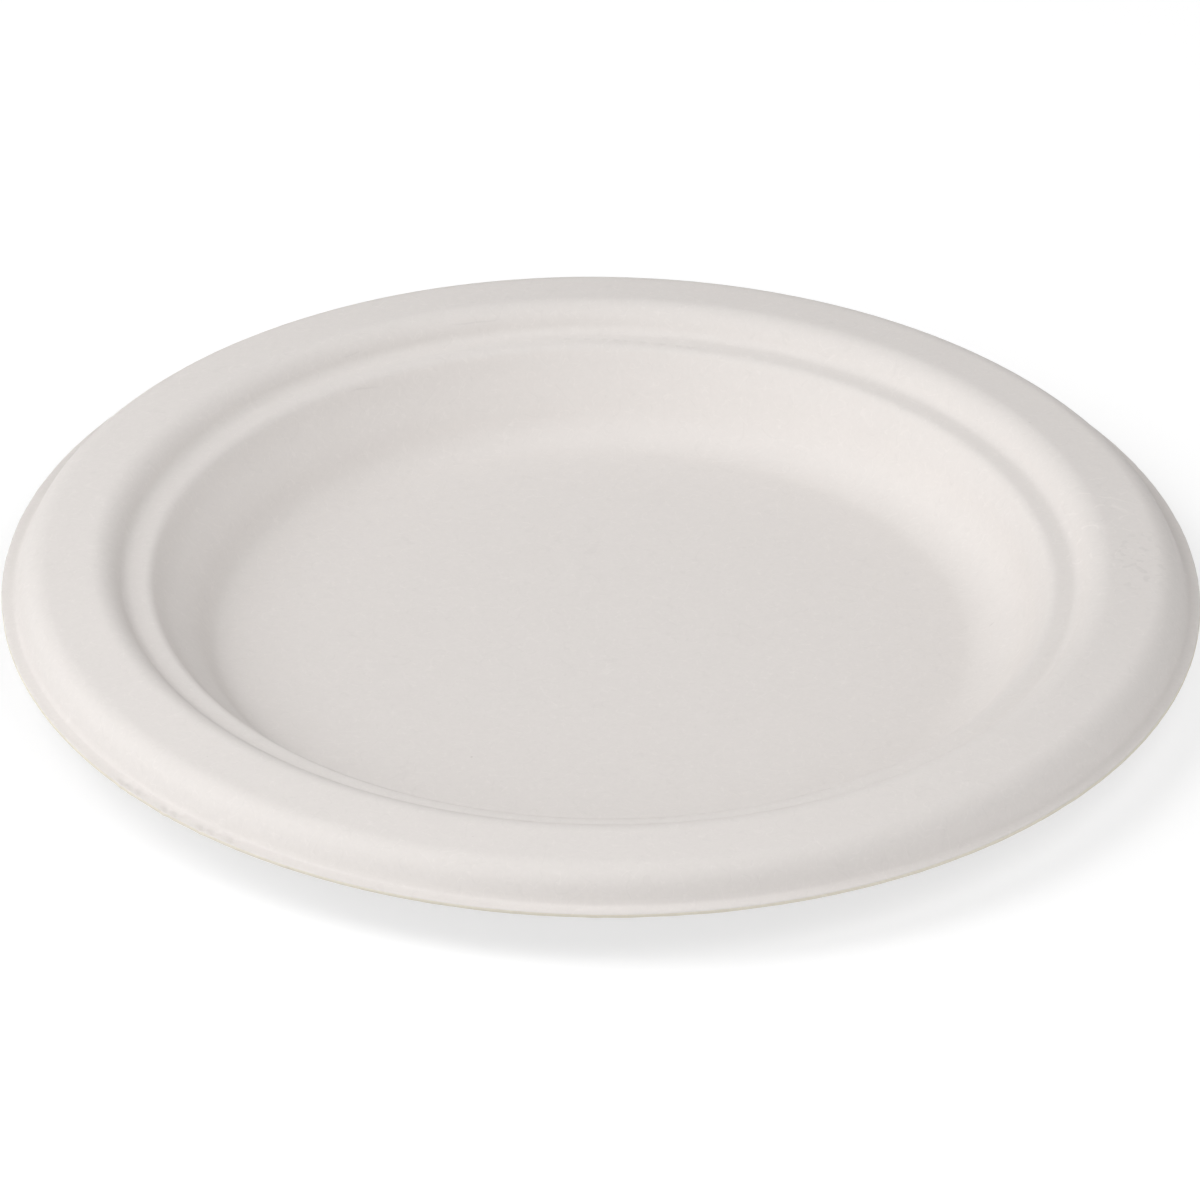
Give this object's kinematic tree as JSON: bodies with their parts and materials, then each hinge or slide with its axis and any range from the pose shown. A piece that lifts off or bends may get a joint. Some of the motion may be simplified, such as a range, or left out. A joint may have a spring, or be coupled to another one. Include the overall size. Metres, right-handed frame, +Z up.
{
  "type": "moulded pulp plate",
  "caption": "Round disposable plate of moulded plant fibre: flat floor, sloped well, stepped ledge, rounded rim and thin trimmed flange.",
  "frame": {"origin": "on the table, under the middle of the floor", "axes": "+Z up along the plate's axis; -Y towards the viewer of the picture, +X to the viewer's right"},
  "size_m": [0.18, 0.18, 0.0149],
  "materials": {
    "pulp": "matt pressed plant fibre, off-white"
  },
  "bodies": {
    "root": {"plate": "pulp"}
  },
  "joints": []
}
